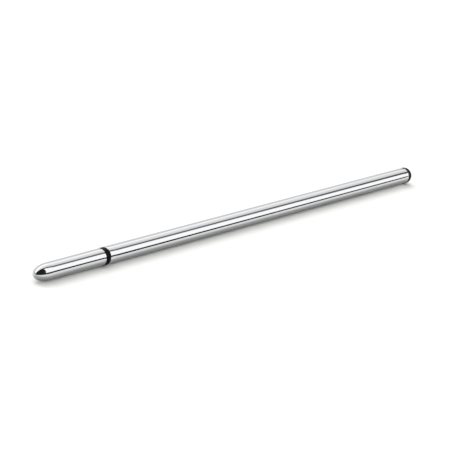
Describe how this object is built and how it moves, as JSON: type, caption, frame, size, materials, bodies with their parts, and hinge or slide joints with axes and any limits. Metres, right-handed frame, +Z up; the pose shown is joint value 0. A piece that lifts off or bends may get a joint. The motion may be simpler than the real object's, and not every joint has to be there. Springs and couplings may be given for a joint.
{
  "type": "garden dibber",
  "caption": "Long slim dibber: a polished steel rod with a bullet nose that unscrews, a black depth ring and a black domed end cap.",
  "frame": {"origin": "on the ground under the middle of the rod's length, directly below its axis", "axes": "+X along the rod towards the domed cap, so the bullet nose points towards -X; +Z up from the ground the rod lies on"},
  "size_m": [0.711, 0.02, 0.02],
  "materials": {
    "polished_steel": "mirror polished stainless steel",
    "turned_steel": "plain machined, with fine turning marks",
    "turned_brass": "plain machined, with fine turning marks",
    "black_rubber": "smooth satin black",
    "black_plastic": "satin black moulding"
  },
  "bodies": {
    "shaft": {"shaft_tube": "polished_steel", "front_insert": "turned_brass", "end_cap": "black_plastic"},
    "ring_stack": {"depth_ring": "black_rubber", "spacer_collar": "turned_steel"},
    "nose_unit": {"nose": "polished_steel", "joining_stud": "turned_steel"}
  },
  "joints": [
    {"name": "nose_travel", "type": "slide", "parent": "shaft", "child": "ring_stack", "axis": [-1, 0, 0], "range_m": [0, 0.012]},
    {"name": "nose_unscrew", "type": "hinge", "parent": "ring_stack", "child": "nose_unit", "pos_m": [-0.2505, 0, 0.01], "axis": [-1, 0, 0], "range_deg": [0, 2880]}
  ],
  "couplings": [
    {"joint": "nose_unscrew", "follows": "nose_travel", "rad_per_m": 4188.8}
  ]
}
